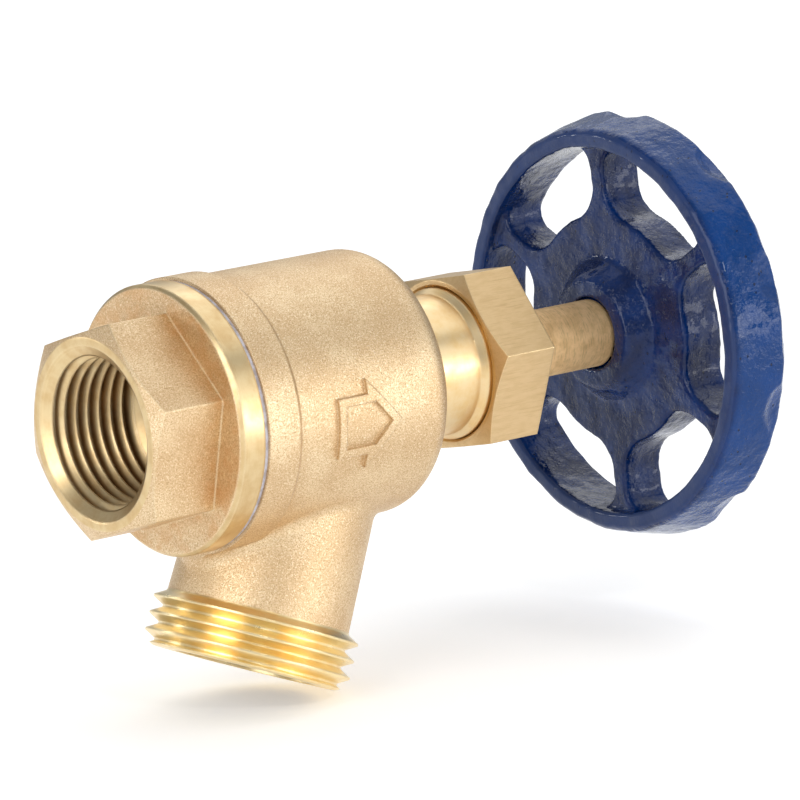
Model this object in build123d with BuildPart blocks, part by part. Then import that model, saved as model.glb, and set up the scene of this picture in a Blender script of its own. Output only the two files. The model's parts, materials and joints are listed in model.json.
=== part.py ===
"""Angle-pattern globe valve with a screwed inlet, a hose outlet and a handwheel.

Millimetres. +X runs along the stem from the inlet face to the handwheel, +Z is up, and the outlet
points down and leans towards the inlet. The origin is the centre of the inlet face. The valve
stands open. Closing turns the handwheel clockwise and drives the stem along -X.
"""

import os
from math import asin, cos, pi, radians, sin, sqrt, tan

from build123d import *

# ---------------------------------------------------------------- driving dimensions
# Inlet adapter
inlet_crest_radius = 9.35
inlet_thread_depth = 1.25
inlet_thread_pitch = 1.814
inlet_thread_turns = 7
inlet_mouth_step = 0.7
inlet_mouth_depth = 0.7
inlet_hex_wall = 1.4
inlet_hex_turn = 13.5
inlet_hex_length = 10.1
inlet_face_width = 1.0
inlet_chamfer_length = 1.1
flange_overhang = 0.2
flange_thickness = 3.7
flange_edge = 0.5
seat_bore_radius = 6.5
seat_lip_width = 1.4
seat_lip_height = 0.8
nose_length = 8.2
nose_thread_length = 7.0
nose_end_step = 2.0

# Body gasket
gasket_thickness = 0.5
gasket_inset = 0.1

# Body casting
barrel_radius = 17.25
barrel_wall = 4.05
body_thread_step = 1.0
bead_height = 0.55
bead_length = 6.2
bead_blend = 1.4
shoulder_radius = 3.4
end_wall = 6.05
chamber_relief = 1.0
neck_wall = 2.1
neck_thread_height = 0.7
neck_thread_length = 5.4
neck_run_in = 0.9

# Outlet tube, measured along its own axis from the stem's axis
outlet_lean = 22.5
outlet_front_margin = 1.782
outlet_back_margin = 4.7
outlet_beyond_barrel = 18.1
outlet_taper = 0.75
outlet_wall = 2.75
outlet_bore_overlap = 2.2
outlet_fillet = 2.0
facing_stock = 7.0
hose_crest_radius = 13.495
hose_thread_depth = 1.435
hose_thread_step = 0.11
hose_thread_pitch = 2.209
hose_thread_turns = 3
hose_lead_in = 0.75

# Cast flow arrow on the barrel's side, drawn by its outline
arrow_length = 10.0
arrow_head_length = 5.3
arrow_head_width = 11.6
arrow_shaft_width = 7.8
arrow_line = 1.1
arrow_tip_from_body_end = 9.5
arrow_turn = 95.8
arrow_height = 0.55

# Disc and its washer
travel = 6.0
washer_overlap = 0.7
washer_thickness = 3.0
washer_edge = 0.4
holder_rim = 1.8
holder_rim_wall = 1.2
holder_plate = 3.0
holder_chamfer = 1.0
holder_collar = 3.2
holder_collar_wall = 1.45
button_radius = 4.3
button_length = 2.0
clip_thickness = 0.8
clip_opening = 1.6
clip_groove_depth = 0.6
retainer_radius = 4.6
retainer_thickness = 0.8
disc_screw_radius = 2.0
disc_screw_head_radius = 3.4
disc_screw_head = 1.6
disc_screw_cover = 1.0

# Stem
stem_radius = 4.5
stem_thread_height = 1.5
stem_thread_pitch = 2.0
stem_thread_depth = 0.9
stem_link_radius = 2.9
stem_link_length = 1.2
exposed_stem = 16.6
tang_corner_step = 0.116
shoulder_chamfer = 0.5

# Packing
box_depth = 10.75
packing_width = 2.7
box_floor_from_body_end = 6.0
packing_washer_thickness = 1.0
packing_ring_thickness = 2.4
gland_proud = 0.8
nut_side_wall = 1.05
nut_hex_turn = 20.7
nut_length = 8.8
nut_end_wall = 2.8
nut_face_step = 0.2
nut_chamfer_length = 0.9
nut_mouth = 0.35

# Handwheel
wheel_radius = 27.3
wheel_rim_face = 2.6
wheel_depth = 8.4
wheel_flare = 1.5
wheel_spokes = 6
wheel_turn = -2.0
wheel_lobes = 10
lobe_depth = 1.3
lobe_turn = 0.0
lobe_cutter_radius = 8.5
web_recess = 1.5
web_thickness = 6.4
web_disc_width = 6.0
web_edge = 0.5
spoke_width = 2.6
gap_inner_corner = 4.8
gap_outer_corner = 2.6
rim_edge = 0.7
hub_proud = 1.7
hub_wall = 3.3
hub_slope = 1.8
hub_pocket = 1.0
hub_back = 0.7
wheel_screw_radius = 2.0
wheel_screw_depth = 6.5
wheel_screw_length = 6.0
wheel_screw_head_radius = 4.0
wheel_screw_head = 2.6
wheel_washer_overlap = 0.816
wheel_washer_thickness = 1.0

# Clearances, all radial unless they say otherwise
running_fit = 0.05
screw_fit = 0.05
stem_hole_fit = 0.25
pocket_fit = 0.35
tang_fit = 0.05
face_gap = 0.02
tang_short = 0.4
slot_width = 1.0
groove_overcut = 0.15
cutter_reach = 1.0

# ---------------------------------------------------------------- radii that follow from a neighbour
inlet_root_radius = inlet_crest_radius + inlet_thread_depth
inlet_mouth_radius = inlet_root_radius + inlet_mouth_step
inlet_hex = 2 * (inlet_mouth_radius + inlet_hex_wall)
inlet_face_radius = inlet_mouth_radius + inlet_face_width
flange_radius = barrel_radius + flange_overhang
chamber_radius = barrel_radius - barrel_wall
body_thread_radius = chamber_radius + body_thread_step
nose_thread_radius = body_thread_radius - screw_fit
bead_radius = barrel_radius + bead_height
seat_lip_radius = seat_bore_radius + seat_lip_width
washer_radius = seat_lip_radius + washer_overlap
holder_radius = washer_radius + holder_rim_wall
clip_groove_radius = button_radius + running_fit + clip_groove_depth
holder_collar_radius = clip_groove_radius + holder_collar_wall
stem_thread_radius = stem_radius + stem_thread_height
stem_bore_radius = stem_thread_radius + running_fit
packing_bore_radius = stem_radius + running_fit
box_radius = stem_radius + packing_width
neck_radius = box_radius + neck_wall
neck_thread_radius = neck_radius + neck_thread_height
nut_bore_radius = neck_thread_radius + screw_fit
nut_hex = 2 * (nut_bore_radius + nut_side_wall)
hub_face_radius = stem_radius + hub_wall
hub_base_radius = hub_face_radius + hub_slope
web_disc_radius = hub_base_radius + web_disc_width
tang_width = sqrt(2) * (stem_radius - tang_corner_step)
wheel_washer_radius = tang_width / sqrt(2) + wheel_washer_overlap
hose_root_radius = hose_crest_radius - hose_thread_depth
outlet_end_radius = hose_root_radius - hose_thread_step
outlet_root_radius = outlet_end_radius - outlet_taper
outlet_bore_radius = outlet_end_radius - outlet_wall
outlet_bore_start = chamber_radius - outlet_bore_overlap
outlet_core_start = outlet_bore_start / 2

# ---------------------------------------------------------------- stations along the stem's axis
flange_face_x = inlet_hex_length
flange_back_x = flange_face_x + flange_thickness
body_front_x = flange_back_x + gasket_thickness
seat_face_x = flange_back_x + nose_length + seat_lip_height
washer_x = seat_face_x + travel + face_gap
holder_x = washer_x + washer_thickness
pocket_x = holder_x + holder_plate
clip_x = pocket_x + button_length + 2 * face_gap
collar_end_x = pocket_x + holder_collar
stem_thread_x = clip_x + clip_thickness + stem_link_length
outlet_setback = barrel_radius * tan(radians(outlet_lean))
outlet_half_width = outlet_root_radius / cos(radians(outlet_lean))
outlet_x = body_front_x + outlet_front_margin + outlet_half_width + outlet_setback
outlet_room_x = outlet_x - outlet_setback + outlet_half_width + outlet_back_margin
chamber_end_x = max(collar_end_x + chamber_relief, outlet_room_x - end_wall)
body_end_x = chamber_end_x + end_wall
box_floor_x = body_end_x + box_floor_from_body_end
neck_end_x = box_floor_x + box_depth
gland_end_x = neck_end_x + gland_proud
nut_back_x = gland_end_x + nut_end_wall
nut_front_x = nut_back_x - nut_length
hub_x = nut_back_x + exposed_stem
rim_x = hub_x + hub_proud
web_x = rim_x + web_recess
rim_back_x = rim_x + wheel_depth
hub_back_x = web_x + web_thickness + hub_back
stem_end_x = hub_back_x - tang_short

# The outlet's own frame: its local X runs outward along the tube
outlet_origin = Vector(outlet_x, 0, 0)
outlet_direction = Vector(-sin(radians(outlet_lean)), 0, -cos(radians(outlet_lean)))
outlet_axis = Axis(outlet_origin, outlet_direction)
outlet_section = Plane(outlet_origin, x_dir=outlet_direction, z_dir=(0, 1, 0))
arrow_plane = Plane(
    (body_end_x - arrow_tip_from_body_end, 0, 0),
    x_dir=(1, 0, 0),
    z_dir=(0, -sin(radians(arrow_turn)), cos(radians(arrow_turn))),
)
outlet_end = barrel_radius / cos(radians(outlet_lean)) + outlet_beyond_barrel
hose_thread_length = hose_thread_pitch * hose_thread_turns + hose_lead_in
hose_thread_start = outlet_end - hose_thread_length


# ---------------------------------------------------------------- shared shapes
def turned(points, mode=Mode.ADD):
    """Turn an outline of (station, radius) points round the stem's axis."""
    with BuildSketch(Plane.XZ) as outline:
        with BuildLine():
            Polyline(*points, close=True)
        make_face()
    revolve(outline.sketch, axis=Axis.X, mode=mode)


def ring(station, length, outer, inner=0, mode=Mode.ADD):
    """Extrude a disc or a ring along the stem's axis."""
    with BuildSketch(Plane.YZ.offset(station)) as outline:
        Circle(outer)
        if inner:
            Circle(inner, mode=Mode.SUBTRACT)
    extrude(outline.sketch, amount=length, mode=mode)


def hexagon(station, length, across_flats, turn):
    """Extrude a hexagon along the stem's axis."""
    with BuildSketch(Plane.YZ.offset(station)) as outline:
        RegularPolygon(across_flats / 2, 6, major_radius=False, rotation=90 + turn)
    extrude(outline.sketch, amount=length)


def hexagon_chamfer(station, length, face_radius, across_flats):
    """Turn off the corners of a hexagon, from the face's radius back to the corners."""
    corner_radius = across_flats / 2 / cos(radians(30))
    slope = length / (corner_radius - face_radius)
    outside = corner_radius + cutter_reach
    turned(
        [(station, face_radius), (station + slope * (outside - face_radius), outside), (station, outside)],
        mode=Mode.SUBTRACT,
    )


def thread_grooves(plane, axis, start, turns, pitch, crest, root):
    """Cut a row of 60-degree thread grooves from the crest radius to the root radius."""
    root_half = pitch / 16
    flank = abs(crest - root) * tan(radians(30))
    overcut = groove_overcut if crest > root else -groove_overcut
    overcut_flank = abs(overcut) * tan(radians(30))
    for turn in range(turns):
        middle = start + (turn + 0.5) * pitch
        wide = root_half + flank + overcut_flank
        with BuildSketch(plane) as groove:
            with BuildLine():
                Polyline(
                    (middle - wide, crest + overcut),
                    (middle - root_half, root),
                    (middle + root_half, root),
                    (middle + wide, crest + overcut),
                    close=True,
                )
            make_face()
        revolve(groove.sketch, axis=axis, mode=Mode.SUBTRACT)


def driver_slot(station, depth, reach):
    """Cut a straight slot in a screw head; the depth is signed along +X."""
    with BuildSketch(Plane.YZ.offset(station)) as slot:
        Rectangle(2 * reach, slot_width)
    extrude(slot.sketch, amount=depth, mode=Mode.SUBTRACT)


# ---------------------------------------------------------------- inlet side
with BuildPart() as inlet_adapter:
    hexagon(0, inlet_hex_length + flange_edge, inlet_hex, inlet_hex_turn)
    hexagon_chamfer(0, inlet_chamfer_length, inlet_face_radius, inlet_hex)
    # flange, threaded nose and raised seat
    turned(
        [
            (flange_face_x, 0),
            (flange_face_x, flange_radius - flange_edge),
            (flange_face_x + flange_edge, flange_radius),
            (flange_back_x, flange_radius),
            (flange_back_x, nose_thread_radius),
            (flange_back_x + nose_thread_length, nose_thread_radius),
            (flange_back_x + nose_thread_length, chamber_radius - screw_fit),
            (seat_face_x - seat_lip_height, chamber_radius - nose_end_step),
            (seat_face_x - seat_lip_height, seat_lip_radius),
            (seat_face_x, (seat_lip_radius + seat_bore_radius) / 2),
            (seat_face_x, 0),
        ]
    )
    # waterway: mouth, tapping bore, drill cone and seat bore
    inlet_thread_end = inlet_mouth_depth + inlet_thread_pitch * inlet_thread_turns
    turned(
        [
            (0, 0),
            (0, inlet_mouth_radius),
            (inlet_mouth_depth + inlet_mouth_radius - inlet_root_radius, inlet_crest_radius),
            (inlet_thread_end, inlet_crest_radius),
            (inlet_thread_end + inlet_crest_radius - seat_bore_radius, seat_bore_radius),
            (seat_face_x, seat_bore_radius),
            (seat_face_x, 0),
        ],
        mode=Mode.SUBTRACT,
    )
    thread_grooves(
        Plane.XZ, Axis.X, inlet_mouth_depth, inlet_thread_turns,
        inlet_thread_pitch, inlet_crest_radius, inlet_root_radius,
    )
inlet_adapter.part.label = "inlet_adapter"

with BuildPart() as body_gasket:
    ring(flange_back_x, gasket_thickness, flange_radius - gasket_inset, body_thread_radius)
body_gasket.part.label = "body_gasket"

# ---------------------------------------------------------------- body casting
with BuildPart() as flow_arrow:
    with BuildSketch(arrow_plane):
        with BuildLine():
            Polyline(
                (0, 0),
                (-arrow_head_length, arrow_head_width / 2),
                (-arrow_head_length, arrow_shaft_width / 2),
                (-arrow_length, arrow_shaft_width / 2),
                (-arrow_length, -arrow_shaft_width / 2),
                (-arrow_head_length, -arrow_shaft_width / 2),
                (-arrow_head_length, -arrow_head_width / 2),
                close=True,
            )
        make_face()
        offset(amount=-arrow_line, kind=Kind.INTERSECTION, mode=Mode.SUBTRACT)
    extrude(amount=barrel_radius + 2 * arrow_height)
    ring(0, body_end_x, barrel_radius + arrow_height, mode=Mode.INTERSECT)
    ring(0, body_end_x, barrel_radius - arrow_height, mode=Mode.SUBTRACT)

with BuildPart() as valve_body:
    # barrel with a rounded far shoulder, cast long at the front and faced off below
    cast_front_x = body_front_x - facing_stock
    with BuildSketch(Plane.XZ):
        with BuildLine():
            Polyline(
                (body_end_x, barrel_radius - shoulder_radius),
                (body_end_x, 0),
                (cast_front_x, 0),
                (cast_front_x, barrel_radius),
                (body_end_x - shoulder_radius, barrel_radius),
            )
            RadiusArc(
                (body_end_x - shoulder_radius, barrel_radius),
                (body_end_x, barrel_radius - shoulder_radius),
                shoulder_radius,
            )
        make_face()
    revolve(axis=Axis.X)
    # outlet tube, blended into the barrel
    with BuildSketch(outlet_section):
        with BuildLine():
            Polyline(
                (outlet_core_start, 0),
                (outlet_core_start, outlet_root_radius),
                (hose_thread_start, outlet_end_radius),
                (hose_thread_start, 0),
                close=True,
            )
        make_face()
    revolve(axis=outlet_axis)
    tube_side = valve_body.faces().filter_by(GeomType.CONE)
    fillet(tube_side.edges().filter_by(GeomType.BSPLINE), outlet_fillet)
    # front face, turned clear of the flange, and the bead behind it
    ring(cast_front_x, facing_stock, barrel_radius + outlet_fillet, mode=Mode.SUBTRACT)
    turned(
        [
            (body_front_x, 0),
            (body_front_x, bead_radius),
            (body_front_x + bead_length - bead_blend, bead_radius),
            (body_front_x + bead_length, barrel_radius - bead_height),
            (body_front_x + bead_length, 0),
        ]
    )
    # hose thread: a plain crest cylinder with its grooves and a turned lead-in
    with BuildSketch(outlet_section):
        with BuildLine():
            Polyline(
                (hose_thread_start, 0),
                (hose_thread_start, hose_crest_radius),
                (outlet_end - hose_lead_in, hose_crest_radius),
                (outlet_end, hose_root_radius),
                (outlet_end, 0),
                close=True,
            )
        make_face()
    revolve(axis=outlet_axis)
    thread_grooves(
        outlet_section, outlet_axis, hose_thread_start - hose_thread_pitch / 2, hose_thread_turns + 1,
        hose_thread_pitch, hose_crest_radius, hose_root_radius,
    )
    # neck, its run-in cone and the packing nut's thread
    turned(
        [
            (body_end_x - shoulder_radius, 0),
            (body_end_x - shoulder_radius, neck_radius),
            (neck_end_x - neck_thread_length - neck_run_in, neck_radius),
            (neck_end_x - neck_thread_length, neck_thread_radius),
            (neck_end_x - neck_run_in, neck_thread_radius),
            (neck_end_x, neck_radius),
            (neck_end_x, 0),
        ]
    )
    # inside: nose thread, chamber, stem thread and stuffing box
    nose_bore_end_x = flange_back_x + nose_thread_length + chamber_relief
    ring(body_front_x, nose_bore_end_x - body_front_x, body_thread_radius, mode=Mode.SUBTRACT)
    ring(nose_bore_end_x, chamber_end_x - nose_bore_end_x, chamber_radius, mode=Mode.SUBTRACT)
    ring(chamber_end_x, box_floor_x - chamber_end_x, stem_bore_radius, mode=Mode.SUBTRACT)
    ring(box_floor_x, box_depth, box_radius, mode=Mode.SUBTRACT)
    # outlet bore
    with BuildSketch(Plane(outlet_origin + outlet_direction * outlet_bore_start, z_dir=outlet_direction)):
        Circle(outlet_bore_radius)
    extrude(amount=outlet_end - outlet_bore_start, mode=Mode.SUBTRACT)
    # raised flow arrow
    add(flow_arrow.part)
valve_body.part.label = "valve_body"

# ---------------------------------------------------------------- disc, which slides without turning
with BuildPart() as seat_washer:
    ring(washer_x, washer_thickness, washer_radius, disc_screw_radius)
    front_edges = seat_washer.edges().filter_by(GeomType.CIRCLE).group_by(Axis.X)[0]
    fillet(front_edges.sort_by(SortBy.RADIUS)[-1], washer_edge)
seat_washer.part.label = "seat_washer"

with BuildPart() as disc_holder:
    turned(
        [
            (holder_x - holder_rim, washer_radius + screw_fit),
            (holder_x - holder_rim, holder_radius),
            (pocket_x - holder_chamfer, holder_radius),
            (pocket_x, holder_collar_radius),
            (collar_end_x, holder_collar_radius),
            (collar_end_x, button_radius + running_fit),
            (pocket_x, button_radius + running_fit),
            (pocket_x, 0),
            (holder_x, 0),
            (holder_x, washer_radius + screw_fit),
        ]
    )
    ring(holder_x, holder_plate - disc_screw_cover, disc_screw_radius, mode=Mode.SUBTRACT)
    ring(clip_x, clip_thickness, clip_groove_radius, button_radius, mode=Mode.SUBTRACT)
disc_holder.part.label = "disc_holder"

with BuildPart() as washer_retainer:
    ring(washer_x - retainer_thickness, retainer_thickness, retainer_radius, disc_screw_radius)
washer_retainer.part.label = "washer_retainer"

with BuildPart() as disc_screw:
    disc_screw_head_x = washer_x - retainer_thickness - disc_screw_head
    ring(disc_screw_head_x, disc_screw_head, disc_screw_head_radius)
    disc_screw_end_x = pocket_x - disc_screw_cover
    ring(disc_screw_head_x, disc_screw_end_x - disc_screw_head_x, disc_screw_radius)
    driver_slot(disc_screw_head_x, disc_screw_head / 2, disc_screw_head_radius)
disc_screw.part.label = "disc_screw"

with BuildPart() as retaining_clip:
    ring(clip_x, clip_thickness, clip_groove_radius, stem_link_radius + running_fit)
    with BuildSketch(Plane.YZ.offset(clip_x)):
        with Locations((0, clip_groove_radius)):
            Rectangle(clip_opening, 2 * clip_groove_radius)
    extrude(amount=clip_thickness, mode=Mode.SUBTRACT)
retaining_clip.part.label = "retaining_clip"

# ---------------------------------------------------------------- stem and packing
with BuildPart() as stem:
    # button, link and threaded length
    ring(pocket_x + face_gap, button_length, button_radius)
    ring(pocket_x + face_gap, stem_thread_x - pocket_x, stem_link_radius)
    stem_thread_end_x = box_floor_x - stem_link_length
    turned(
        [
            (stem_thread_x, 0),
            (stem_thread_x, stem_thread_radius - stem_thread_depth),
            (stem_thread_x + stem_thread_depth, stem_thread_radius),
            (stem_thread_end_x - stem_thread_depth, stem_thread_radius),
            (stem_thread_end_x, stem_thread_radius - stem_thread_depth),
            (stem_thread_end_x, 0),
        ]
    )
    stem_thread_turns = int((stem_thread_end_x - stem_thread_x) / stem_thread_pitch) - 1
    thread_grooves(
        Plane.XZ, Axis.X, stem_thread_x + stem_thread_pitch / 2, stem_thread_turns,
        stem_thread_pitch, stem_thread_radius, stem_thread_radius - stem_thread_depth,
    )
    # plain length, with the chamfered shoulder that seats in the hub's pocket
    turned(
        [
            (stem_thread_end_x, 0),
            (stem_thread_end_x, stem_radius),
            (hub_x + hub_pocket - shoulder_chamfer, stem_radius),
            (hub_x + hub_pocket, stem_radius - shoulder_chamfer),
            (hub_x + hub_pocket, 0),
        ]
    )
    # square tang and the hole for the handwheel's screw
    with BuildSketch(Plane.YZ.offset(hub_x + hub_pocket)):
        Rectangle(tang_width, tang_width, rotation=wheel_turn)
    extrude(amount=stem_end_x - hub_x - hub_pocket)
    ring(stem_end_x - wheel_screw_depth, wheel_screw_depth, wheel_screw_radius, mode=Mode.SUBTRACT)
stem.part.label = "stem"

with BuildPart() as packing_washer:
    ring(box_floor_x, packing_washer_thickness, box_radius, stem_radius + stem_hole_fit)
packing_washer.part.label = "packing_washer"

packing_rings = []
for number, name in enumerate(("packing_ring_inner", "packing_ring_middle", "packing_ring_outer")):
    with BuildPart() as packing_ring:
        ring_x = box_floor_x + packing_washer_thickness + number * packing_ring_thickness
        ring(ring_x, packing_ring_thickness, box_radius, packing_bore_radius)
    packing_ring.part.label = name
    packing_rings.append(packing_ring.part)
packing_end_x = box_floor_x + packing_washer_thickness + len(packing_rings) * packing_ring_thickness

with BuildPart() as packing_gland:
    ring(packing_end_x, gland_end_x - packing_end_x, box_radius - running_fit, stem_radius + stem_hole_fit)
packing_gland.part.label = "packing_gland"

with BuildPart() as packing_nut:
    hexagon(nut_front_x, nut_length, nut_hex, nut_hex_turn)
    hexagon_chamfer(nut_front_x, nut_chamfer_length, nut_hex / 2 - nut_face_step, nut_hex)
    turned(
        [
            (nut_front_x, 0),
            (nut_front_x, nut_bore_radius + nut_mouth),
            (nut_front_x + nut_mouth, nut_bore_radius),
            (gland_end_x, nut_bore_radius),
            (gland_end_x, stem_radius + stem_hole_fit),
            (nut_back_x, stem_radius + stem_hole_fit),
            (nut_back_x, 0),
        ],
        mode=Mode.SUBTRACT,
    )
packing_nut.part.label = "packing_nut"

# ---------------------------------------------------------------- handwheel
rim_inner_radius = wheel_radius - wheel_rim_face
back_radius = wheel_radius + wheel_flare
lobe_cutter_distance = back_radius + lobe_cutter_radius - lobe_depth


def gap_corner(radius, side):
    """Where one spoke's side crosses this radius, in a gap centred on the local X axis."""
    angle = side * (pi / wheel_spokes - asin(spoke_width / 2 / radius))
    return (radius * cos(angle), radius * sin(angle))


with BuildSketch() as spoke_gap:
    with BuildLine():
        Line(gap_corner(web_disc_radius, -1), gap_corner(rim_inner_radius, -1))
        RadiusArc(gap_corner(rim_inner_radius, -1), gap_corner(rim_inner_radius, 1), -rim_inner_radius)
        Line(gap_corner(rim_inner_radius, 1), gap_corner(web_disc_radius, 1))
        RadiusArc(gap_corner(web_disc_radius, 1), gap_corner(web_disc_radius, -1), web_disc_radius)
    make_face()
    fillet(spoke_gap.vertices().group_by(Axis.X)[0], gap_inner_corner)
    fillet(spoke_gap.vertices().group_by(Axis.X)[-1], gap_outer_corner)

with BuildPart() as handwheel:
    # web, hub with its front boss, and a rim whose outer side flares towards the back
    ring(web_x, web_thickness, rim_inner_radius + rim_edge)
    turned(
        [
            (hub_x, 0),
            (hub_x, hub_face_radius - rim_edge),
            (hub_x + rim_edge, hub_face_radius),
            (web_x, hub_base_radius),
            (hub_back_x - rim_edge, hub_base_radius),
            (hub_back_x, hub_base_radius - rim_edge),
            (hub_back_x, 0),
        ]
    )
    # gaps between the spokes
    with BuildSketch(Plane.YZ.offset(web_x)):
        with PolarLocations(0, wheel_spokes, start_angle=90 + wheel_turn + 180 / wheel_spokes):
            add(spoke_gap.sketch)
    extrude(amount=web_thickness, mode=Mode.SUBTRACT)
    web_front = handwheel.faces().filter_by(Plane.YZ).group_by(Axis.X)[1][0]
    fillet([edge for wire in web_front.inner_wires() for edge in wire.edges()], web_edge)
    turned(
        [
            (rim_x, rim_inner_radius + rim_edge / 2),
            (rim_x, wheel_radius - rim_edge),
            (rim_x + rim_edge, wheel_radius),
            (rim_back_x - 2 * rim_edge, back_radius),
            (rim_back_x, back_radius - 2 * rim_edge),
            (rim_back_x, rim_inner_radius + rim_edge / 2),
            (rim_back_x - rim_edge / 2, rim_inner_radius),
            (rim_x + rim_edge / 2, rim_inner_radius),
        ]
    )
    # hollows between the lobes round the rim's back edge
    with Locations(Location((rim_back_x, 0, 0), (0, 90, 0))):
        with PolarLocations(lobe_cutter_distance, wheel_lobes, start_angle=lobe_turn):
            Sphere(lobe_cutter_radius, mode=Mode.SUBTRACT)
    # pocket for the stem's shoulder and the square hole for its tang
    ring(hub_x, hub_pocket, stem_radius + pocket_fit, mode=Mode.SUBTRACT)
    with BuildSketch(Plane.YZ.offset(hub_x + hub_pocket)):
        Rectangle(tang_width + 2 * tang_fit, tang_width + 2 * tang_fit, rotation=wheel_turn)
    extrude(amount=hub_back_x - hub_x - hub_pocket, mode=Mode.SUBTRACT)
handwheel.part.label = "handwheel"

with BuildPart() as handwheel_washer:
    ring(hub_back_x, wheel_washer_thickness, wheel_washer_radius, wheel_screw_radius + screw_fit)
handwheel_washer.part.label = "handwheel_washer"

with BuildPart() as handwheel_screw:
    wheel_screw_head_x = hub_back_x + wheel_washer_thickness
    ring(wheel_screw_head_x, wheel_screw_head, wheel_screw_head_radius)
    fillet(handwheel_screw.edges().group_by(Axis.X)[-1], wheel_screw_head / 3)
    ring(wheel_screw_head_x - wheel_screw_length, wheel_screw_length, wheel_screw_radius)
    driver_slot(wheel_screw_head_x + wheel_screw_head, -wheel_screw_head / 2, wheel_screw_head_radius)
handwheel_screw.part.label = "handwheel_screw"

# ---------------------------------------------------------------- one STEP file for each piece
pieces = [
    inlet_adapter.part,
    body_gasket.part,
    valve_body.part,
    packing_washer.part,
    *packing_rings,
    packing_gland.part,
    packing_nut.part,
    disc_holder.part,
    seat_washer.part,
    washer_retainer.part,
    disc_screw.part,
    retaining_clip.part,
    stem.part,
    handwheel.part,
    handwheel_washer.part,
    handwheel_screw.part,
]
os.makedirs("parts", exist_ok=True)
for piece in pieces:
    export_step(piece, f"parts/{piece.label}.step")
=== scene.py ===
import json
import math

import bmesh
import bpy
import numpy as np
from mathutils import Matrix, Vector, noise


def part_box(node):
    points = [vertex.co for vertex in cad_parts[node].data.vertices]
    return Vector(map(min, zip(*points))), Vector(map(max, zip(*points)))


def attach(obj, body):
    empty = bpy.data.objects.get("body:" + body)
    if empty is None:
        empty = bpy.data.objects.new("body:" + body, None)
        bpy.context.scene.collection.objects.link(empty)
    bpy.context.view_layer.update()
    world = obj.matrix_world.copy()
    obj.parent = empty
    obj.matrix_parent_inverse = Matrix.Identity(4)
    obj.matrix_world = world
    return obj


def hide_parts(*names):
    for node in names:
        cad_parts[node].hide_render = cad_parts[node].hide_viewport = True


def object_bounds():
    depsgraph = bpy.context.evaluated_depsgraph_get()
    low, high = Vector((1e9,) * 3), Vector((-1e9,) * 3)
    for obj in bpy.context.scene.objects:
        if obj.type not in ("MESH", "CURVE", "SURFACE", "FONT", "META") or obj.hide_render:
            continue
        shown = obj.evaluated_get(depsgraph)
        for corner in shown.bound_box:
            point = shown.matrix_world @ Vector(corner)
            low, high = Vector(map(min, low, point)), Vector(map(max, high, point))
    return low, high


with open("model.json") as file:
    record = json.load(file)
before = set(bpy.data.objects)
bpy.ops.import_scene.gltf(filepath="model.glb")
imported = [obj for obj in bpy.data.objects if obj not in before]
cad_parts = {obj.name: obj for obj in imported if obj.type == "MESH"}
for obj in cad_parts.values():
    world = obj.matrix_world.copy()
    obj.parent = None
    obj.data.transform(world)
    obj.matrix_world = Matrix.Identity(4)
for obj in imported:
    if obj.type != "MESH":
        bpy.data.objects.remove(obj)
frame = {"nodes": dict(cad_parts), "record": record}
cad_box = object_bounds()
nodes = frame["nodes"]
mounts = {mount["name"]: mount for mount in frame["record"]["mounts"]}

MM = 1000

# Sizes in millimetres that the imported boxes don't show
hex_to_gasket = 3.7
flange_past_gasket = 0.1
body_to_nut = 11.55
neck_reach = 13.0
hose_thread = 7.4
outlet_bore_depth = 28.0
outlet_bore_radius = 9.32
inlet_bore_reach = 11.9
inlet_bore_depth = 22.0
inlet_thread_root = 10.75
inlet_thread_start = 0.9
rim_past_hub = 1.7
rim_inner = 24.7
rim_outer = 27.4

# Places in millimetres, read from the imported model
outlet_face = Vector(mounts["outlet_face"]["pos_m"]) * MM
outlet_axis = Vector(mounts["outlet_face"]["axis"]).normalized()
gasket_low, gasket_high = (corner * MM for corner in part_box("body_gasket"))
nut_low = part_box("packing_nut")[0] * MM
wheel_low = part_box("handwheel")[0] * MM
hex_end = gasket_low.x - hex_to_gasket
flange_radius = gasket_high.z + flange_past_gasket
body_end = nut_low.x - body_to_nut
rim_front = wheel_low.x + rim_past_hub


def srgb(red, green, blue):
    """A colour given as it looks on screen, 0 to 255, as the linear numbers Blender uses."""
    shares = (channel / 255 for channel in (red, green, blue))
    return tuple(s / 12.92 if s <= 0.04045 else ((s + 0.055) / 1.055) ** 2.4 for s in shares) + (1.0,)


cast_tone, cast_light = srgb(216, 186, 145), srgb(231, 206, 167)
cast_grain_dark, cast_grain_light = srgb(194, 160, 117), srgb(250, 234, 204)
cast_stain = srgb(212, 158, 100)
tool_line = srgb(252, 232, 180)
hose_tone, hose_shade = srgb(252, 234, 188), srgb(246, 218, 158)
neck_tone, neck_shade = srgb(236, 210, 164), srgb(230, 196, 138)
adapter_tone, adapter_shade = srgb(224, 200, 154), srgb(208, 176, 126)
# Painted shade: darker brass for the inlet's thread roots and for deep inside its bore.
painted_thread_root_shade, painted_bore_shade = srgb(132, 96, 54), srgb(120, 88, 52)
# Edge wear and painted highlight: lighter colours on the sharp edges of the adapter and nut, on convex and
# hollow edges alike.
adapter_edge_wear_and_highlight, nut_edge_wear_and_highlight = srgb(252, 232, 192), srgb(250, 228, 180)
nut_tone, nut_shade, nut_streak = srgb(218, 188, 142), srgb(211, 180, 133), srgb(176, 140, 94)
stem_tone, stem_shade, stem_line = srgb(246, 212, 160), srgb(222, 186, 134), srgb(150, 116, 74)
inner_tone, inner_shade = srgb(222, 186, 118), srgb(198, 158, 92)
gasket_light, gasket_dark = srgb(208, 208, 220), srgb(168, 160, 164)
packing_light, packing_dark = srgb(238, 235, 228), srgb(196, 190, 178)
rubber_dark, rubber_light = srgb(34, 33, 32), srgb(52, 50, 48)
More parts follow.
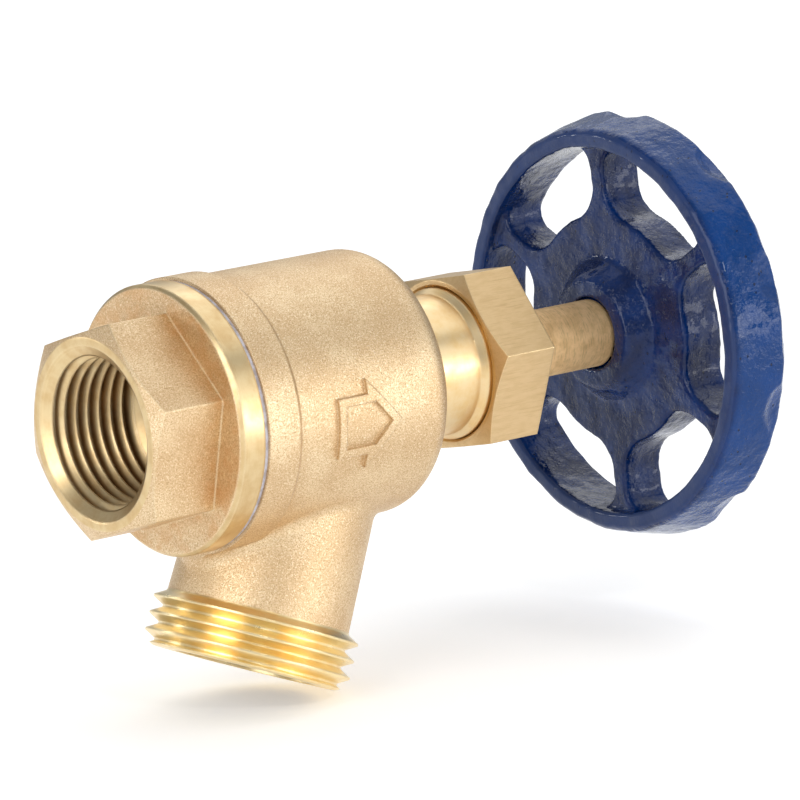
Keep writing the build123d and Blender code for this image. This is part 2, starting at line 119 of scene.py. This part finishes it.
# The lightest zinc colour is edge wear and a painted highlight on sharp edges.
zinc_tone, zinc_shade, zinc_edge_wear_and_highlight = srgb(196, 199, 203), srgb(172, 176, 182), srgb(232, 233, 235)
enamel_thin, enamel_thick = srgb(3, 23, 64), srgb(6, 42, 98)
# The outside colour is a painted sheen on the rim's outer surface; the face colour is a painted reflection
# on the rim's front face.
enamel_outside_painted_sheen, enamel_face_painted_reflection, enamel_pit = srgb(8, 64, 128), srgb(32, 54, 100), srgb(8, 14, 36)
paper_dark, paper_light = srgb(246, 246, 246), srgb(250, 250, 250)


class Looks:
    """A node material round one Principled shader. Places and sizes are in millimetres."""

    def __init__(self, name, **settings):
        self.material = bpy.data.materials.new(name)
        self.material.use_nodes = True
        self.tree = self.material.node_tree
        self.shader = self.tree.nodes["Principled BSDF"]
        for socket, value in settings.items():
            self.shader.inputs[socket.replace("_", " ")].default_value = value
        place = self.tree.nodes.new("ShaderNodeTexCoord").outputs["Object"]
        self.place = self.vector("SCALE", place, scale=MM)
        self.x, self.y, self.z = self.split(self.place)
        self.radius = self.value("SQRT", self.value("ADD", self.square(self.y), self.square(self.z)))

    def set(self, socket, value):
        if hasattr(value, "is_output"):
            self.tree.links.new(value, socket)
        else:
            socket.default_value = value

    def split(self, vector):
        node = self.tree.nodes.new("ShaderNodeSeparateXYZ")
        self.set(node.inputs[0], vector)
        return node.outputs[0], node.outputs[1], node.outputs[2]

    def join(self, x, y, z):
        node = self.tree.nodes.new("ShaderNodeCombineXYZ")
        for socket, value in zip(node.inputs, (x, y, z)):
            self.set(socket, value)
        return node.outputs[0]

    def value(self, operation, first, second=None):
        node = self.tree.nodes.new("ShaderNodeMath")
        node.operation = operation
        for socket, value in zip(node.inputs, (first, second)):
            if value is not None:
                self.set(socket, value)
        return node.outputs[0]

    def square(self, value):
        return self.value("MULTIPLY", value, value)

    def vector(self, operation, first, second=None, scale=None):
        node = self.tree.nodes.new("ShaderNodeVectorMath")
        node.operation = operation
        self.set(node.inputs[0], first)
        if second is not None:
            self.set(node.inputs[1], second)
        if scale is not None:
            self.set(node.inputs["Scale"], scale)
        return node.outputs["Value" if operation in ("DOT_PRODUCT", "LENGTH") else "Vector"]

    def stretch(self, x, y, z):
        """The place with each coordinate scaled, so that a noise read there is drawn out."""
        return self.vector("MULTIPLY", self.place, (x, y, z))

    def step(self, value, low, high):
        """0 below low, 1 above high, smooth between. With low over high it falls instead."""
        node = self.tree.nodes.new("ShaderNodeMapRange")
        node.interpolation_type = "SMOOTHSTEP"
        self.set(node.inputs["Value"], value)
        node.inputs["From Min"].default_value = low
        node.inputs["From Max"].default_value = high
        return node.outputs["Result"]

    def patches(self, value):
        """Soft-edged patches, 1 where this noise is high."""
        return self.step(value, 0.35, 0.7)

    def both(self, *masks):
        result = masks[0]
        for mask in masks[1:]:
            result = self.value("MULTIPLY", result, mask)
        return result

    def either(self, *masks):
        result = masks[0]
        for mask in masks[1:]:
            result = self.value("MAXIMUM", result, mask)
        return result

    def without(self, mask):
        return self.value("SUBTRACT", 1.0, mask)

    def noise(self, size, detail=2.0, rough=0.5, place=None):
        """Soft noise, 0 to 1, with features about this many millimetres across."""
        node = self.tree.nodes.new("ShaderNodeTexNoise")
        self.set(node.inputs["Vector"], self.place if place is None else place)
        node.inputs["Scale"].default_value = 1 / size
        node.inputs["Detail"].default_value = detail
        node.inputs["Roughness"].default_value = rough
        return node.outputs["Fac"]

    def cells(self, size, place=None):
        """Distance to scattered points about this many millimetres apart."""
        node = self.tree.nodes.new("ShaderNodeTexVoronoi")
        self.set(node.inputs["Vector"], self.place if place is None else place)
        node.inputs["Scale"].default_value = 1 / size
        return node.outputs["Distance"]

    def mix(self, share, first, second):
        """A colour that goes from first to second with share."""
        node = self.tree.nodes.new("ShaderNodeMix")
        node.data_type = "RGBA"
        self.set(node.inputs["Factor"], share)
        self.set(node.inputs[6], first)
        self.set(node.inputs[7], second)
        return node.outputs[2]

    def tint(self, colour, other, mask, strength):
        """The colour with this much of another over it where the mask is 1."""
        return self.mix(self.value("MULTIPLY", mask, strength), colour, other)

    def between(self, share, first, second):
        """A number that goes from first to second with share."""
        node = self.tree.nodes.new("ShaderNodeMix")
        node.data_type = "FLOAT"
        self.set(node.inputs["Factor"], share)
        self.set(node.inputs[2], first)
        self.set(node.inputs[3], second)
        return node.outputs[0]

    def soft_edges(self, radius):
        """The surface normal with edges rounded over this many millimetres."""
        node = self.tree.nodes.new("ShaderNodeBevel")
        node.samples = 4
        node.inputs["Radius"].default_value = radius / MM
        return node.outputs["Normal"]

    def edge_share(self, normal):
        """Near 1 on sharp edges, from how far the rounded normal leans away from the true one."""
        true = self.tree.nodes.new("ShaderNodeNewGeometry").outputs["Normal"]
        return self.step(self.without(self.vector("DOT_PRODUCT", true, normal)), 0.01, 0.12)

    def relief(self, height, depth, strength=1.0, normal=None):
        """Bump of this depth in millimetres."""
        node = self.tree.nodes.new("ShaderNodeBump")
        node.inputs["Distance"].default_value = depth / MM
        self.set(node.inputs["Strength"], strength)
        self.set(node.inputs["Height"], height)
        if normal is not None:
            self.set(node.inputs["Normal"], normal)
        return node.outputs["Normal"]

    def finish(self, colour, roughness, normal):
        self.set(self.shader.inputs["Base Color"], colour)
        self.set(self.shader.inputs["Roughness"], roughness)
        self.set(self.shader.inputs["Normal"], normal)
        return self.material


# ---------------------------------------------------------------- brass
cast_relief = 0.058
tool_line_relief = 0.006


def cast_brass(look):
    """Shot-blasted casting: colour, roughness and height of its grain."""
    grain = look.noise(size=0.17, detail=2.0, rough=0.7)
    pits = look.cells(size=0.55)
    clouds = look.noise(size=7.0, detail=3.0)
    colour = look.mix(look.patches(clouds), cast_tone, cast_light)
    colour = look.mix(look.step(grain, 0.5, 0.32), colour, cast_grain_dark)
    colour = look.mix(look.step(grain, 0.54, 0.72), colour, cast_grain_light)
    roughness = look.between(look.step(grain, 0.4, 0.65), 0.52, 0.34)
    height = look.value("ADD", grain, look.value("MULTIPLY", look.step(pits, 0.0, 0.35), 0.35))
    return colour, roughness, height


def turned_brass(look, along, tone, shade, gloss):
    """Machined brass with fine tool lines across the given coordinate.

    gloss is its lowest roughness.
    """
    lines = look.noise(size=0.16, detail=2.0, rough=0.7, place=look.join(along, 0.0, 0.0))
    blotches = look.noise(size=2.6, detail=4.0, rough=0.6)
    colour = look.mix(look.step(blotches, 0.3, 0.75), tone, shade)
    colour = look.tint(colour, tool_line, look.step(lines, 0.5, 0.75), strength=0.25)
    roughness = look.between(blotches, gloss, gloss + 0.16)
    return colour, roughness, lines


def body_look():
    look = Looks("cast_and_turned_brass_body", Metallic=1.0)
    from_face = look.vector("SUBTRACT", look.place, tuple(outlet_face))
    along = look.vector("DOT_PRODUCT", from_face, tuple(outlet_axis))
    on_axis = look.vector("SCALE", tuple(outlet_axis), scale=along)
    from_axis = look.vector("LENGTH", look.vector("SUBTRACT", from_face, on_axis))
    hose = look.step(along, -hose_thread - 0.15, -hose_thread + 0.1)
    bore = look.both(
        look.step(along, -outlet_bore_depth, -outlet_bore_depth + 0.5),
        look.step(from_axis, outlet_bore_radius, outlet_bore_radius - 0.06),
    )
    neck = look.both(
        look.step(look.x, body_end + 0.02, body_end + 0.1),
        look.step(look.radius, neck_reach, neck_reach - 0.5),
    )
    outlet = look.either(hose, bore)
    cast_colour, cast_rough, grain = cast_brass(look)
    hose_colour, hose_rough, hose_lines = turned_brass(look, along, hose_tone, hose_shade, gloss=0.22)
    neck_colour, neck_rough, neck_lines = turned_brass(look, look.x, neck_tone, neck_shade, gloss=0.26)
    colour = look.mix(neck, look.mix(outlet, cast_colour, hose_colour), neck_colour)
    roughness = look.between(neck, look.between(outlet, cast_rough, hose_rough), neck_rough)
    cast = look.without(look.either(outlet, neck))
    rough_relief = look.relief(grain, cast_relief, cast, look.soft_edges(radius=0.35))
    lines = look.value("ADD", look.both(hose_lines, hose), look.both(neck_lines, neck))
    return look.finish(colour, roughness, look.relief(lines, tool_line_relief, normal=rough_relief))


def adapter_look():
    look = Looks("cast_and_turned_brass_adapter", Metallic=1.0)
    rim = look.both(
        look.step(look.radius, flange_radius - 0.5, flange_radius - 0.35),
        look.step(look.x, hex_end - 0.1, hex_end),
    )
    face = look.step(look.x, 0.06, 0.02)
    inside = look.both(
        look.step(look.radius, inlet_bore_reach, inlet_bore_reach - 0.6),
        look.step(look.x, inlet_bore_depth, inlet_bore_depth - 1.0),
    )
    machined = look.either(rim, face, inside)
    cast_colour, cast_rough, grain = cast_brass(look)
    stains = look.step(look.noise(size=3.2, detail=4.0, rough=0.65), 0.42, 0.62)
    near_flange = look.step(look.x, 5.5, hex_end + 0.3)
    cast_colour = look.tint(cast_colour, cast_stain, look.both(near_flange, stains), strength=0.35)
    along = look.either(look.both(face, look.radius), look.both(look.without(face), look.x))
    turned = turned_brass(look, along, adapter_tone, adapter_shade, gloss=0.26)
    turned_colour, turned_rough, lines = turned
    # Painted shade in the roots of the inlet thread.
    thread_root_shade_mask = look.both(
        look.step(look.radius, inlet_thread_root - 0.95, inlet_thread_root - 0.25),
        look.step(look.radius, inlet_thread_root, inlet_thread_root - 0.05),
        look.step(look.x, inlet_thread_start, inlet_thread_start + 0.5),
    )
    turned_colour = look.tint(turned_colour, painted_thread_root_shade, thread_root_shade_mask, strength=0.6)
    # Painted shade deep inside the inlet bore.
    deep_bore_shade_mask = look.both(inside, look.step(look.x, 11.0, 16.0))
    turned_colour = look.tint(turned_colour, painted_bore_shade, deep_bore_shade_mask, strength=0.6)
    colour = look.mix(machined, cast_colour, turned_colour)
    roughness = look.between(machined, cast_rough, turned_rough)
    edges = look.soft_edges(radius=0.4)
    # Edge wear and painted highlight on sharp edges.
    colour = look.tint(colour, adapter_edge_wear_and_highlight, look.edge_share(edges), strength=0.55)
    rough_relief = look.relief(grain, cast_relief, look.without(machined), edges)
    normal = look.relief(look.both(lines, machined), tool_line_relief, normal=rough_relief)
    return look.finish(colour, roughness, normal)


def nut_look():
    look = Looks("drawn_brass_nut", Metallic=1.0)
    end = look.step(look.x, nut_low.x + 1.3, nut_low.x + 0.4)
    streaks = look.noise(size=0.12, detail=2.0, rough=0.6, place=look.stretch(0.03, 1.0, 1.0))
    marks = look.noise(size=0.7, detail=5.0, rough=0.65, place=look.stretch(0.3, 1.0, 1.0))
    colour = look.mix(look.patches(marks), nut_tone, nut_shade)
    colour = look.tint(colour, nut_streak, look.step(streaks, 0.45, 0.3), strength=0.35)
    edges = look.soft_edges(radius=0.22)
    # Edge wear and painted highlight on sharp edges.
    colour = look.tint(colour, nut_edge_wear_and_highlight, look.edge_share(edges), strength=0.5)
    rings = look.noise(size=0.12, place=look.join(look.radius, 0.0, 0.0))
    height = look.between(end, streaks, rings)
    normal = look.relief(height, depth=0.012, normal=edges)
    return look.finish(colour, look.between(marks, 0.3, 0.44), normal)


def stem_look():
    look = Looks("dull_brass_stem", Metallic=0.75)
    lines = look.noise(size=0.2, detail=3.0, rough=0.7, place=look.stretch(1.0, 0.12, 0.12))
    stains = look.noise(size=2.2, detail=5.0, rough=0.7)
    colour = look.mix(look.patches(stains), stem_tone, stem_shade)
    colour = look.tint(colour, stem_line, look.step(lines, 0.5, 0.3), strength=0.4)
    normal = look.relief(lines, depth=0.014, normal=look.soft_edges(radius=0.2))
    return look.finish(colour, look.between(stains, 0.6, 0.74), normal)


def inner_brass_look():
    look = Looks("turned_brass_inside", Metallic=1.0)
    colour, roughness, lines = turned_brass(look, look.x, inner_tone, inner_shade, gloss=0.22)
    normal = look.relief(lines, depth=0.008, normal=look.soft_edges(radius=0.15))
    return look.finish(colour, roughness, normal)


# ---------------------------------------------------------------- fibre, rubber and steel
def fibre_look(name, light, dark, grain_size):
    look = Looks(name)
    fibres = look.noise(grain_size, detail=4.0, rough=0.7, place=look.stretch(2.0, 1.0, 1.0))
    colour = look.mix(look.step(fibres, 0.35, 0.65), dark, light)
    return look.finish(colour, look.between(fibres, 0.7, 0.95), look.relief(fibres, depth=0.04))


def rubber_look():
    look = Looks("seat_rubber", Specular_IOR_Level=0.4)
    grain = look.noise(size=0.35, detail=3.0)
    colour = look.mix(look.patches(look.noise(size=3.0)), rubber_dark, rubber_light)
    normal = look.relief(grain, depth=0.02, normal=look.soft_edges(radius=0.15))
    return look.finish(colour, look.between(grain, 0.45, 0.7), normal)


def steel_look():
    look = Looks("zinc_plated_steel", Metallic=1.0)
    spangle = look.cells(size=0.9)
    scuffs = look.noise(size=0.4, detail=4.0, rough=0.7)
    edges = look.soft_edges(radius=0.18)
    colour = look.mix(look.step(spangle, 0.1, 0.7), zinc_tone, zinc_shade)
    # Edge wear and painted highlight on sharp edges.
    colour = look.tint(colour, zinc_edge_wear_and_highlight, look.edge_share(edges), strength=0.5)
    normal = look.relief(scuffs, depth=0.01, normal=edges)
    return look.finish(colour, look.between(scuffs, 0.22, 0.42), normal)


# ---------------------------------------------------------------- enamelled handwheel
def enamel_look():
    look = Looks(
        "blue_enamel", Specular_IOR_Level=0.2, Coat_Weight=0.45, Coat_Roughness=0.02, Coat_IOR=1.35
    )
    flow = look.noise(size=1.5, detail=3.0, rough=0.55)
    peel = look.noise(size=0.5, detail=2.0, rough=0.6)
    specks = look.cells(size=1.15, place=look.stretch(1.0, 1.6, 0.7))
    speckled_areas = look.step(look.noise(size=4.0, detail=2.0), 0.42, 0.6)
    holes = look.both(look.step(specks, 0.17, 0.06), speckled_areas)
    thickness = look.noise(size=5.0, detail=3.0)
    face = look.both(
        look.step(look.x, rim_front + 0.5, rim_front + 0.2),
        look.step(look.radius, rim_inner - 0.6, rim_inner),
    )
    outside = look.step(look.radius, rim_outer - 0.8, rim_outer)
    colour = look.mix(look.step(thickness, 0.32, 0.7), enamel_thin, enamel_thick)
    # Painted sheen: the rim's outer surface made lighter.
    colour = look.tint(colour, enamel_outside_painted_sheen, outside, strength=0.6)
    # Painted reflection: the rim's front face made lighter.
    colour = look.tint(colour, enamel_face_painted_reflection, face, strength=0.75)
    colour = look.tint(colour, enamel_pit, holes, strength=0.8)
    roughness = look.between(face, look.between(look.patches(flow), 0.06, 0.16), 0.42)
    height = look.value("ADD", flow, look.value("MULTIPLY", peel, 0.3))
    height = look.value("SUBTRACT", height, look.value("MULTIPLY", holes, 0.5))
    normal = look.relief(height, depth=0.36, strength=look.between(face, 1.0, 0.3))
    return look.finish(colour, roughness, normal)


def cast_copy(node, name, voxel, lumps, squeeze):
    """A copy of a CAD node with softened edges and the lumps of a sand casting.

    voxel is the remesh size and lumps the noises as (size, depth), in millimetres.
    squeeze draws it in towards the stem's axis, so that the lumps stay inside the node's own box.
    """
    mesh = nodes[node].data.copy()
    shell = bmesh.new()
    shell.from_mesh(mesh)
    bmesh.ops.remove_doubles(shell, verts=shell.verts, dist=2e-6)
    shell.to_mesh(mesh)
    shell.free()
    piece = bpy.data.objects.new(name, mesh)
    bpy.context.scene.collection.objects.link(piece)
    remesh = piece.modifiers.new("remesh", "REMESH")
    remesh.mode = "VOXEL"
    remesh.voxel_size = voxel / MM
    smooth = piece.modifiers.new("smooth", "SMOOTH")
    smooth.factor = 0.5
    smooth.iterations = 7
    settled = piece.evaluated_get(bpy.context.evaluated_depsgraph_get())
    solid = bpy.data.meshes.new_from_object(settled)
    piece.modifiers.clear()
    piece.data = solid
    places = np.array([vertex.co for vertex in solid.vertices])
    normals = np.array([vertex.normal for vertex in solid.vertices])
    heights = np.zeros(len(places))
    for size, depth in lumps:
        heights += depth / MM * np.array([noise.noise(Vector(place) * MM / size) for place in places])
    places += normals * heights[:, None]
    places[:, 1:] *= squeeze
    low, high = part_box(node)
    places = np.clip(places, np.array(low), np.array(high))
    solid.vertices.foreach_set("co", places.astype(np.float32).ravel())
    solid.update()
    solid.polygons.foreach_set("use_smooth", [True] * len(solid.polygons))
    return piece


wheel_voxel = 0.25
wheel_lumps = ((3.4, 0.15), (1.3, 0.06))
wheel_squeeze = 0.994

handwheel = cast_copy("handwheel", "handwheel_casting", wheel_voxel, wheel_lumps, wheel_squeeze)
handwheel.data.materials.clear()
handwheel.data.materials.append(enamel_look())
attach(handwheel, "stem_and_wheel")
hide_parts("handwheel")

# ---------------------------------------------------------------- materials of the CAD nodes
inner_brass = inner_brass_look()
packing = fibre_look("braided_packing", packing_light, packing_dark, 0.5)
steel = steel_look()
looks = {
    "inlet_adapter": adapter_look(),
    "valve_body": body_look(),
    "packing_nut": nut_look(),
    "stem": stem_look(),
    "body_gasket": fibre_look("gasket_fibre", gasket_light, gasket_dark, 1.6),
    "packing_washer": inner_brass,
    "packing_ring_inner": packing,
    "packing_ring_middle": packing,
    "packing_ring_outer": packing,
    "packing_gland": inner_brass,
    "disc_holder": inner_brass,
    "washer_retainer": inner_brass,
    "disc_screw": inner_brass,
    "retaining_clip": inner_brass,
    "seat_washer": rubber_look(),
    "handwheel_washer": steel,
    "handwheel_screw": steel,
}
for name, material in looks.items():
    for material_slot in nodes[name].material_slots:
        material_slot.material = material

# ---------------------------------------------------------------- floor, light and camera
low = Vector(cad_box[0])
high = Vector(cad_box[1])
middle = (low + high) / 2

floor_reach = 6.0
floor_gap = 0.0002
floor_mesh = bpy.data.meshes.new("floor")
floor_corners = [
    (-floor_reach, -floor_reach, 0),
    (floor_reach, -floor_reach, 0),
    (floor_reach, floor_reach, 0),
    (-floor_reach, floor_reach, 0),
]
floor_mesh.from_pydata(floor_corners, [], [(0, 1, 2, 3)])
floor = bpy.data.objects.new("floor", floor_mesh)
floor.location = (middle.x, middle.y, low.z - floor_gap)
bpy.context.scene.collection.objects.link(floor)
white = (1.0, 1.0, 1.0, 1.0)
paper = Looks("pale_floor", Specular_IOR_Level=0.2, Emission_Color=white, Emission_Strength=0.3)
tooth = paper.noise(size=40.0, detail=3.0)
paper_colour = paper.mix(tooth, paper_dark, paper_light)
paper_tooth = paper.relief(tooth, depth=0.02)
floor_mesh.materials.append(paper.finish(paper_colour, roughness=0.9, normal=paper_tooth))

# The camera sees a white background, and everything else is lit by a dimmer room
room_colour = (0.94, 0.97, 1.0, 1.0)
room_strength = 0.36
world = bpy.data.worlds.new("studio")
bpy.context.scene.world = world
world.use_nodes = True
studio = world.node_tree
seen = studio.nodes["Background"]
seen.inputs["Color"].default_value = white
room = studio.nodes.new("ShaderNodeBackground")
room.inputs["Color"].default_value = room_colour
room.inputs["Strength"].default_value = room_strength
path = studio.nodes.new("ShaderNodeLightPath")
backdrop = studio.nodes.new("ShaderNodeMixShader")
studio.links.new(path.outputs["Is Camera Ray"], backdrop.inputs[0])
studio.links.new(room.outputs[0], backdrop.inputs[1])
studio.links.new(seen.outputs[0], backdrop.inputs[2])
studio.links.new(backdrop.outputs[0], studio.nodes["World Output"].inputs["Surface"])

# Each softbox: place, aim, width and height in metres, power in watts
softboxes = {
    "top_light": ((0.4, 0.05, 0.75), middle, 1.0, 1.0, 3.0),
    "left_light": ((-0.75, -0.25, 0.3), middle, 0.5, 0.6, 3.4),
    "right_light": ((0.62, -0.72, 0.2), middle, 0.75, 0.7, 1.5),
    "low_light": ((0.3, -0.6, 0.02), middle, 0.5, 0.11, 0.9),
    "spark_light": ((-0.12, -0.75, 0.42), middle, 0.08, 0.08, 0.8),
    "left_spark_light": ((-0.42, 0.55, 0.14), middle, 0.08, 0.08, 0.4),
    "back_light": ((0.75, 1.2, 0.9), (0.75, 1.15, 0.0), 1.6, 1.2, 5.0),
}
for name, (place, aim, width, height, power) in softboxes.items():
    light = bpy.data.lights.new(name, "AREA")
    light.shape = "RECTANGLE"
    light.size = width
    light.size_y = height
    light.energy = power
    lamp = bpy.data.objects.new(name, light)
    lamp.location = place
    lamp.rotation_euler = (Vector(aim) - Vector(place)).to_track_quat("-Z", "Y").to_euler()
    bpy.context.scene.collection.objects.link(lamp)

# The camera: angles in degrees from the photo's view, distances in metres
view_azimuth, view_elevation, view_roll = -38.5, 10.6, -3.4
camera_distance = 0.88
aim_along_stem = 0.0637
frame_left = 0.0109
frame_down = 0.0059
camera_data = bpy.data.cameras.new("camera")
camera_data.lens = 302.4
camera_data.sensor_width = 36.0
camera_data.clip_start = 0.05
camera_data.clip_end = 50.0
camera = bpy.data.objects.new("camera", camera_data)
azimuth, elevation, roll = (math.radians(a) for a in (view_azimuth, view_elevation, view_roll))
back = Vector(
    (math.sin(azimuth) * math.cos(elevation), -math.cos(azimuth) * math.cos(elevation), math.sin(elevation))
)
level = Vector((0, 0, 1)).cross(back).normalized()
upright = back.cross(level)
across = level * math.cos(roll) + upright * math.sin(roll)
up = upright * math.cos(roll) - level * math.sin(roll)
aim = Vector((aim_along_stem, 0, 0)) - across * frame_left - up * frame_down
turn = Matrix((across, up, back)).transposed().to_4x4()
camera.matrix_world = Matrix.Translation(aim + back * camera_distance) @ turn
bpy.context.scene.collection.objects.link(camera)
bpy.context.scene.camera = camera
bpy.context.scene.view_settings.view_transform = "Standard"
